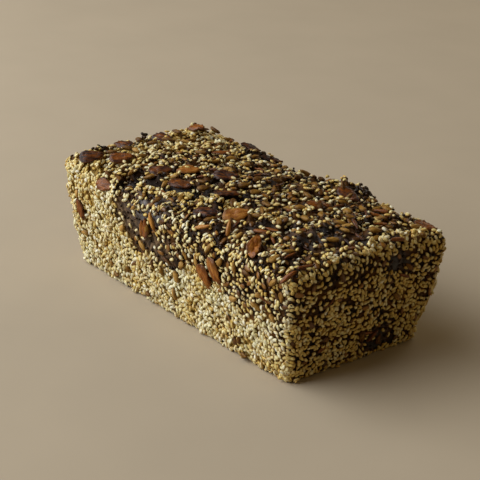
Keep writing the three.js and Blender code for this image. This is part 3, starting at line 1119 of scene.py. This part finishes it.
def roasted_skin(name, dark, middle, pale, roughness, gloss):
    """Roasted seed skin: streaked along its length, darker round the rim with painted shade, oily enough to
    gleam.
    """
    finish = {"Roughness": roughness, "Specular IOR Level": gloss}
    coat = {"Coat Weight": gloss, "Coat Roughness": 0.28}
    material, tree, skin = new_material(name, finish | coat)
    tone = add_node(tree, "ShaderNodeAttribute", attribute_name="tone").outputs["Fac"]
    own = add_node(tree, "ShaderNodeAttribute", attribute_name="own").outputs["Vector"]
    place = add_node(tree, "ShaderNodeTexCoord").outputs["Object"]
    apart = add_node(tree, "ShaderNodeMath", {0: tone, 1: 40.0}, operation="MULTIPLY").outputs[0]
    drawn = add_node(tree, "ShaderNodeMapping", {"Vector": own, "Scale": (0.9, 2.2, 0.9)}).outputs["Vector"]
    lines = {"Vector": drawn, "W": apart, "Scale": 1.6, "Detail": 4.0, "Roughness": 0.6}
    streaks = add_node(tree, "ShaderNodeTexNoise", lines, noise_dimensions="4D").outputs["Fac"]
    grit = {"Vector": place, "Scale": per_mm(SKIN_GRAIN), "Detail": 3.0}
    grain = add_node(tree, "ShaderNodeTexNoise", grit).outputs["Fac"]
    change = {0: streaks, 1: STREAKING, 2: -STREAKING / 2}
    shift = add_node(tree, "ShaderNodeMath", change, operation="MULTIPLY_ADD")
    shaded = add_node(tree, "ShaderNodeMath", {0: tone, 1: shift.outputs[0]}, operation="ADD")
    stops = ((0.0, dark), (0.45, middle), (1.0, pale))
    colour = add_node(tree, "ShaderNodeValToRGB", {"Fac": shaded.outputs[0]}, stops)
    # Painted shade: the rim turns to the dark tone
    tinted = rim_browned_and_shaded(tree, own, colour.outputs["Color"], dark, start=0.72, most=0.55)
    height = add_node(tree, "ShaderNodeMath", {0: streaks, 1: grain}, operation="ADD").outputs[0]
    bump = add_node(tree, "ShaderNodeBump", {"Height": height, "Distance": SKIN_BUMP * MM, "Strength": 0.8})
    tree.links.new(tinted, skin.inputs["Base Color"])
    tree.links.new(bump.outputs["Normal"], skin.inputs["Normal"])
    return material


def baked_crust(settings):
    """Seed dough baked dark: near black and grainy on top, browner on the walls, rubbed where it slid."""
    material, tree, skin = new_material("seed_dough_baked_dark", {"Specular IOR Level": 0.12})
    place = add_node(tree, "ShaderNodeTexCoord").outputs["Object"]
    bare = add_node(tree, "ShaderNodeAttribute", attribute_name="bare").outputs["Fac"]
    brown = add_node(tree, "ShaderNodeAttribute", attribute_name="brown").outputs["Fac"]
    burnt = add_node(tree, "ShaderNodeAttribute", attribute_name="burnt").outputs["Fac"]
    patchwork = {"Vector": place, "Scale": per_mm(CRUST_BLOTCH), "Detail": 5.0}
    blotch = add_node(tree, "ShaderNodeTexNoise", patchwork).outputs["Fac"]
    change = {0: blotch, 1: BLOTCHING, 2: -BLOTCHING / 2}
    shift = add_node(tree, "ShaderNodeMath", change, operation="MULTIPLY_ADD")
    browned = add_node(tree, "ShaderNodeMath", {0: brown, 1: shift.outputs[0]}, operation="ADD")
    stops = ((0.1, settings.char), (0.5, settings.crumb), (1.0, settings.rusk))
    crumb = add_node(tree, "ShaderNodeValToRGB", {"Fac": browned.outputs[0]}, stops).outputs["Color"]

    drawn = add_node(tree, "ShaderNodeMapping", {"Vector": place, "Scale": (1.0, 1.0, 0.5)})
    scale = per_mm(CRUST_STREAK)
    lines = {"Vector": drawn.outputs["Vector"], "Scale": scale, "Detail": 4.0, "Roughness": 0.65}
    streaks = add_node(tree, "ShaderNodeTexNoise", lines).outputs["Fac"]
    rubbed = [channel * RUBBED_SHADE for channel in settings.smear]
    stops = ((0.38, settings.char), (0.5, rubbed), (0.66, settings.smear))
    smear = add_node(tree, "ShaderNodeValToRGB", {"Fac": streaks}, stops).outputs["Color"]

    blend = {"Factor": bare, "A": crumb, "B": smear}
    smeared = add_node(tree, "ShaderNodeMix", blend, data_type="RGBA").outputs["Result"]
    # Burnt crust takes a painted grey sheen of reflected light
    blend = {"Factor": burnt, "A": smeared, "B": (*settings.burnt, 1.0)}
    colour = add_node(tree, "ShaderNodeMix", blend, data_type="RGBA").outputs["Result"]
    grains = {"Vector": place, "Scale": per_mm(CRUST_GRIT), "Detail": 4.0}
    grit = add_node(tree, "ShaderNodeTexNoise", grains).outputs["Fac"]
    bump = add_node(tree, "ShaderNodeBump", {"Height": grit, "Distance": CRUST_BUMP * MM, "Strength": 0.8})
    gleam = add_node(tree, "ShaderNodeMapRange", {"Value": blotch, "To Min": 0.4, "To Max": 0.8})
    tree.links.new(colour, skin.inputs["Base Color"])
    tree.links.new(gleam.outputs["Result"], skin.inputs["Roughness"])
    tree.links.new(bump.outputs["Normal"], skin.inputs["Normal"])
    return material


def floor_paint(settings):
    """Matt emulsion on a smooth floor: even, pale and without gloss."""
    material, tree, skin = new_material("matt_floor_emulsion", {"Roughness": 0.9})
    place = add_node(tree, "ShaderNodeTexCoord").outputs["Object"]
    marks = {"Vector": place, "Scale": per_mm(ROLLER_MARK), "Detail": 2.0}
    rolled = add_node(tree, "ShaderNodeTexNoise", marks).outputs["Fac"]
    shade = [channel * FLOOR_SHADE for channel in settings.floor]
    colour = add_node(tree, "ShaderNodeValToRGB", {"Fac": rolled}, ((0.3, shade), (0.7, settings.floor)))
    tree.links.new(colour.outputs["Color"], skin.inputs["Base Color"])
    return material


def crust_block(cell):
    """The plain block as a mesh of square cells in millimetres, with its underside just below the base."""
    sizes = (RIM_LENGTH, RIM_WIDTH, RIM_HEIGHT + UNDERCUT)
    block = bmesh.new()
    bmesh.ops.create_cube(block, size=1.0)
    for axis, size in enumerate(sizes):
        lengthwise = [e for e in block.edges if abs(e.verts[0].co[axis] - e.verts[1].co[axis]) > 0.5]
        cuts = round(size * MM / cell) - 1
        bmesh.ops.subdivide_edges(block, edges=lengthwise, cuts=cuts, use_grid_fill=True)
    bmesh.ops.scale(block, verts=block.verts, vec=sizes)
    bmesh.ops.translate(block, verts=block.verts, vec=(0, 0, sizes[2] / 2 - UNDERCUT))
    mesh = bpy.data.meshes.new("loaf_crust")
    block.to_mesh(mesh)
    block.free()
    return mesh


def crust_finish(points, outward):
    """How bare, how brown and how burnt, with a painted sheen, the crust is at its points, by the names its
    material reads.
    """
    x, y, z = points.T
    wobble = patches(points, BROAD_PATCHES)
    top = smoothstep(*LOOKS_UP, outward[:, 2])
    wall = 1.0 - top
    end = smoothstep(*LOOKS_ENDWAYS, np.abs(outward[:, 0]))

    coat_x = np.where(outward[:, 1] < 0, x, -x)
    thick = thick_coat(coat_x, z, wobble) * (1.0 - LOOSE_COAT_CHAR * loose_coat(coat_x, z))
    brown = CRUST_BROWN + wall * (END_BROWN * end + (1.0 - end) * THICK_COAT_BROWN * thick)
    brown += PATCH_BROWN * wobble
    # Charring plus painted shade darkens the crust in the fold
    fold = FOLD_CHAR_AND_SHADE * in_fold(x, y, FOLD_CHAR_SHADE_REACH)
    brown += top * (FAR_BROWN * smoothstep(*FAR_BROWN_FADE, x) - fold)

    off_smear = z - np.interp(x, SMEAR_PLACES, SMEAR_HEIGHTS)
    along_smear = smoothstep(*SMEAR_FADE, np.abs(x - SMEAR_MIDDLE))
    bare = wall * (outward[:, 1] < LOOKS_FRONT) * along_smear * np.exp(-((off_smear / SMEAR_REACH) ** 2))
    for spot, reach in SHOULDER_SMEARS:
        bare = np.maximum(bare, nearness(points, spot, reach))

    # Burnt spots, whose colour is a painted grey sheen of reflected light
    burnt = np.zeros(len(points))
    for spot, reach, strength in BURNT_SHEEN_SPOTS:
        burnt = np.maximum(burnt, strength * nearness(points, spot, reach))
    mean, change = BURNT_SHEEN_SHARE
    burnt *= np.clip(mean + change * patches(points, BURNT_SHEEN_SPECKS), *BURNT_SHEEN_LIMITS)
    return {"bare": bare * (1.0 - burnt), "brown": brown, "burnt": burnt}


def toasting(rng, face, a, b, spots):
    """How far sesame at places on a face is toasted, drawn about what is usual there; on the ends it adds
    painted warm shade.
    """
    on_top = face == "top"
    toast = (TOP_TOAST if on_top else WALL_TOAST) + PATCH_TOAST * patches(spots, TOAST_PATCHES)
    toast += rng.normal(0.0, TOP_TOAST_SPREAD if on_top else WALL_TOAST_SPREAD, len(a))
    toast += THIN_FRONT_TOAST * (face == "front") * (1.0 - thick_coat(a, b, 0.0))
    # The extra golden tone on the ends is painted warm shade
    toast += END_SHADE_TOAST * (face in ENDS) + FOOT_TOAST * smoothstep(*FOOT_TOAST_FADE, spots[:, 2])
    toast += NEAR_RIM_TOAST * on_top * smoothstep(*NEAR_RIM_FADE, spots[:, 0])
    return toast + spot_sum(GOLDEN_SPOTS, face, a, b)


# Layers of sesame: the setting of its room, its cover, lift and tilt, and how much browner it is
SESAME_LAYERS = (
    ("under_room", sesame_cover, -0.75, 0.26, 0.1),
    ("over_room", stacked_cover, -0.05, 0.36, -0.06),
)


class LOAF_OT_crust(bpy.types.Operator):
    """Makes the crust of the loaf, a little inside the outline that its seeds fill out"""

    bl_idname = "loaf.crust"
    bl_label = "Crust"

    def execute(self, context):
        settings = context.scene.loaf_crust
        mesh = crust_block(settings.cell)
        block = np.empty(3 * len(mesh.vertices))
        mesh.vertices.foreach_get("co", block)
        block = block.reshape(-1, 3)
        points = on_loaf(block)
        mesh.vertices.foreach_set("co", points.ravel())
        mesh.update()
        outward = np.empty(3 * len(mesh.vertices))
        mesh.vertex_normals.foreach_get("vector", outward)
        outward = outward.reshape(-1, 3)

        finish = crust_finish(points, outward)
        crumb = np.array([noise.fractal(Vector(point) * CRUMB_PITCH, *CRUMB_NOISE) for point in points])
        relief = settings.relief / MM * crumb + crag(points, outward)
        relief = relief * (1.0 - SMEAR_SMOOTHING * finish["bare"]) - settings.inset / MM
        points += outward * relief[:, None]
        points[:, 2] = np.where(block[:, 2] < 0.0, 0.0, np.maximum(points[:, 2], 0.0))
        mesh.vertices.foreach_set("co", (points * MM).ravel())
        for name, share in finish.items():
            mesh.attributes.new(name, "FLOAT", "POINT").data.foreach_set("value", share)
        mesh.shade_smooth()
        mesh.materials.append(baked_crust(settings))
        show("loaf_crust", mesh)
        return {"FINISHED"}


class LOAF_OT_large_seeds(bpy.types.Operator):
    """Lays the pumpkin seeds, sunflower kernels, split seeds and linseeds"""

    bl_idname = "loaf.large_seeds"
    bl_label = "Pumpkin, sunflower and linseeds"

    def execute(self, context):
        settings = context.scene.loaf_seeds
        browns = (settings.pumpkin_dark, settings.pumpkin_red, settings.pumpkin_pale)
        pumpkin = roasted_skin("pumpkin_seed_roasted", *browns, roughness=0.45, gloss=0.16)
        browns = (settings.kernel_dark, settings.kernel_mid, settings.kernel_pale)
        kernel = roasted_skin("sunflower_kernel_roasted", *browns, roughness=0.55, gloss=0.12)
        browns = (settings.linseed_dark, settings.linseed_pale, settings.linseed_dark)
        linseed = hull("linseed_roasted", *browns, roughness=0.4, gloss=0.22)

        flat_seeds = [
            seed_shape(20, 14, point=0.42, flatness=1.3, bend=bend, twist=twist, rim=0.25)
            for bend, twist in PUMPKIN_SHAPES
        ]
        plump_seeds = [seed_shape(10, 8, point, bend=bend) for point, bend in KERNEL_SHAPES]
        thin_seeds = [
            seed_shape(8, 8, point=0.25, flatness=0.8, bend=bend, twist=twist)
            for bend, twist in SLIVER_SHAPES
        ]
        lens_seeds = [seed_shape(10, 6, point=0.3, flatness=0.9)]

        kinds = all_seeds()
        seed_piece("pumpkin_seeds", flat_seeds, kinds["pumpkin"], pumpkin, wrinkle=0.3)
        seed_piece("sunflower_kernels", plump_seeds, kinds["kernel"], kernel, wrinkle=0.12)
        seed_piece("split_seeds", thin_seeds, kinds["sliver"], pumpkin, wrinkle=0.15)
        seed_piece("linseeds", lens_seeds, kinds["linseed"], linseed)
        return {"FINISHED"}


class LOAF_OT_sesame(bpy.types.Operator):
    """Strews the sesame, thick on the walls and thin on the top, in four shades of toasting"""

    bl_idname = "loaf.sesame"
    bl_label = "Sesame"

    def execute(self, context):
        settings = context.scene.loaf_seeds
        rng = np.random.default_rng(SESAME_DRAWS)
        size = np.array(settings.sesame) / MM
        sesame = Seeds()
        for face in FACES:
            uneven = EVEN_ROOMS if face in ENDS else UNEVEN_ROOMS
            for room, cover, lift, tilt, browner in SESAME_LAYERS:
                a, b, spots = strew(rng, face, getattr(settings, room) / MM, cover, uneven=uneven)
                toast = browner + toasting(rng, face, a, b, spots)
                raised = lift + rng.normal(0.0, SESAME_UNEVEN, len(a))
                sesame.scatter(rng, face, a, b, tilt, raised, size, SESAME_VARY, toast, SESAME_TURN)
        sesame.heap(rng, HEAPS, SESAME_HEAP, size, SESAME_VARY, SESAME_HEAP_TOAST)

        large = all_seeds()
        covered = any_covers(large, sesame.middles, UNDER_SEED)
        on_seed = any_covers(large, sesame.middles, ON_SEED) & (sesame.axes[:, 2, 2] > ON_SEED_LEVEL)
        on_seed &= rng.random(len(covered)) < ON_SEED_SHARE
        sesame.middles[on_seed, 2] += ON_SEED_RISE
        sesame = sesame.picked(on_seed | ~covered)

        shapes = [seed_shape(7, 5, point, flatness=0.9, bend=bend) for point, bend in SESAME_SHAPES]
        for name, *colours, low, high in SESAME_SHADES:
            kind = sesame.picked((sesame.tones >= low) & (sesame.tones < high))
            kind.tones = rng.uniform(*SHADE_TONES, len(kind.tones))
            # The edge colour is browning plus painted shade round each seed's rim
            dark, pale, edge_brown_and_shade = (getattr(settings, colour) for colour in colours)
            skin = hull(name + "_hull", dark, pale, edge_brown_and_shade, roughness=0.5, gloss=0.2)
            seed_piece(name, shapes, kind, skin)
        return {"FINISHED"}


class LOAF_OT_flecks(bpy.types.Operator):
    """Strews the dark flecks of crust that make the top look grainy"""

    bl_idname = "loaf.flecks"
    bl_label = "Crust flecks"

    def execute(self, context):
        settings = context.scene.loaf_crust
        rng = np.random.default_rng(FLECK_DRAWS)
        flecks = Seeds()
        for face in FACES:
            a, b, _ = strew(rng, face, FLECK_ROOM, fleck_cover)
            tones = rng.random(len(a)) ** 2
            flecks.scatter(rng, face, a, b, FLECK_TILT, FLECK_LIFT, FLECK_SIZE, FLECK_VARY, tones)
        flecks.heap(rng, CLODS, CLOD_HEIGHT, CLOD_SIZE, FLECK_VARY, CLOD_TONE)
        flecks = flecks.picked(~any_covers(all_seeds(), flecks.middles, FLECK_CLEARANCE))
        shapes = [seed_shape(5, 4, point=0.2), seed_shape(5, 4, point=0.0, flatness=0.6)]
        browns = (settings.char, settings.crumb, settings.char)
        fleck = hull("crust_fleck_charred", *browns, roughness=0.45, gloss=0.15)
        seed_piece("crust_flecks", shapes, flecks, fleck)
        return {"FINISHED"}


class LOAF_OT_stage(bpy.types.Operator):
    """Sets out the floor, the soft light and the camera"""

    bl_idname = "loaf.stage"
    bl_label = "Studio"

    def execute(self, context):
        settings = context.scene.loaf_studio
        scene = context.scene
        ground = bmesh.new()
        bmesh.ops.create_grid(ground, x_segments=1, y_segments=1, size=FLOOR_REACH * MM)
        mesh = bpy.data.meshes.new("floor")
        ground.to_mesh(mesh)
        ground.free()
        mesh.materials.append(floor_paint(settings))
        floor = bpy.data.objects.new("floor", mesh)
        scene.collection.objects.link(floor)

        for name, power, size, place, colour in LAMPS:
            light = bpy.data.lights.new(name, "AREA")
            light.shape = "RECTANGLE"
            light.size, light.size_y = (side * MM for side in size)
            light.energy = getattr(settings, power)
            light.color = colour
            lamp = bpy.data.objects.new(name, light)
            lamp.location = Vector(place) * MM
            lamp.rotation_euler = (-lamp.location).to_track_quat("-Z", "Y").to_euler()
            scene.collection.objects.link(lamp)

        world = bpy.data.worlds.new("sky")
        world.use_nodes = True
        backdrop = world.node_tree.nodes["Background"]
        backdrop.inputs["Color"].default_value = (*settings.sky_colour, 1.0)
        backdrop.inputs["Strength"].default_value = settings.sky
        scene.world = world
        scene.view_settings.view_transform = "Standard"

        camera = bpy.data.cameras.new("camera")
        camera.lens = settings.lens
        camera.sensor_width = SENSOR_WIDTH
        eye = bpy.data.objects.new("camera", camera)
        tilted = Matrix.Rotation(math.pi / 2 - settings.elevation, 4, "X")
        turn = Matrix.Rotation(settings.azimuth, 4, "Z") @ tilted
        across, up = VIEW_SHIFT
        place = turn @ Vector((across * MM, up * MM, settings.distance))
        eye.matrix_world = Matrix.Translation(place) @ turn @ Matrix.Rotation(settings.roll, 4, "Z")
        scene.collection.objects.link(eye)
        scene.camera = eye
        return {"FINISHED"}


class LOAF_PT_panel(bpy.types.Panel):
    """Lists the steps that make the loaf, and their settings"""

    bl_label = "Keto bread"
    bl_space_type = "VIEW_3D"
    bl_region_type = "UI"
    bl_category = "Keto bread"

    def draw(self, context):
        for operator in OPERATORS:
            self.layout.operator(operator.bl_idname)
        for group in (context.scene.loaf_crust, context.scene.loaf_seeds, context.scene.loaf_studio):
            box = self.layout.box()
            for name in group.__annotations__:
                box.prop(group, name)


SETTINGS = {"loaf_crust": LoafCrustSettings, "loaf_seeds": SeedCoatSettings, "loaf_studio": StudioSettings}
OPERATORS = (LOAF_OT_crust, LOAF_OT_large_seeds, LOAF_OT_sesame, LOAF_OT_flecks, LOAF_OT_stage)


def register():
    for name, group in SETTINGS.items():
        bpy.utils.register_class(group)
        setattr(bpy.types.Scene, name, PointerProperty(type=group))
    for operator in OPERATORS:
        bpy.utils.register_class(operator)
    bpy.utils.register_class(LOAF_PT_panel)


def unregister():
    bpy.utils.unregister_class(LOAF_PT_panel)
    for operator in reversed(OPERATORS):
        bpy.utils.unregister_class(operator)
    for name, group in SETTINGS.items():
        delattr(bpy.types.Scene, name)
        bpy.utils.unregister_class(group)


def main():
    register()
    bpy.ops.loaf.crust()
    bpy.ops.loaf.large_seeds()
    bpy.ops.loaf.sesame()
    bpy.ops.loaf.flecks()
    bpy.ops.loaf.stage()


if __name__ == "__main__":
    main()
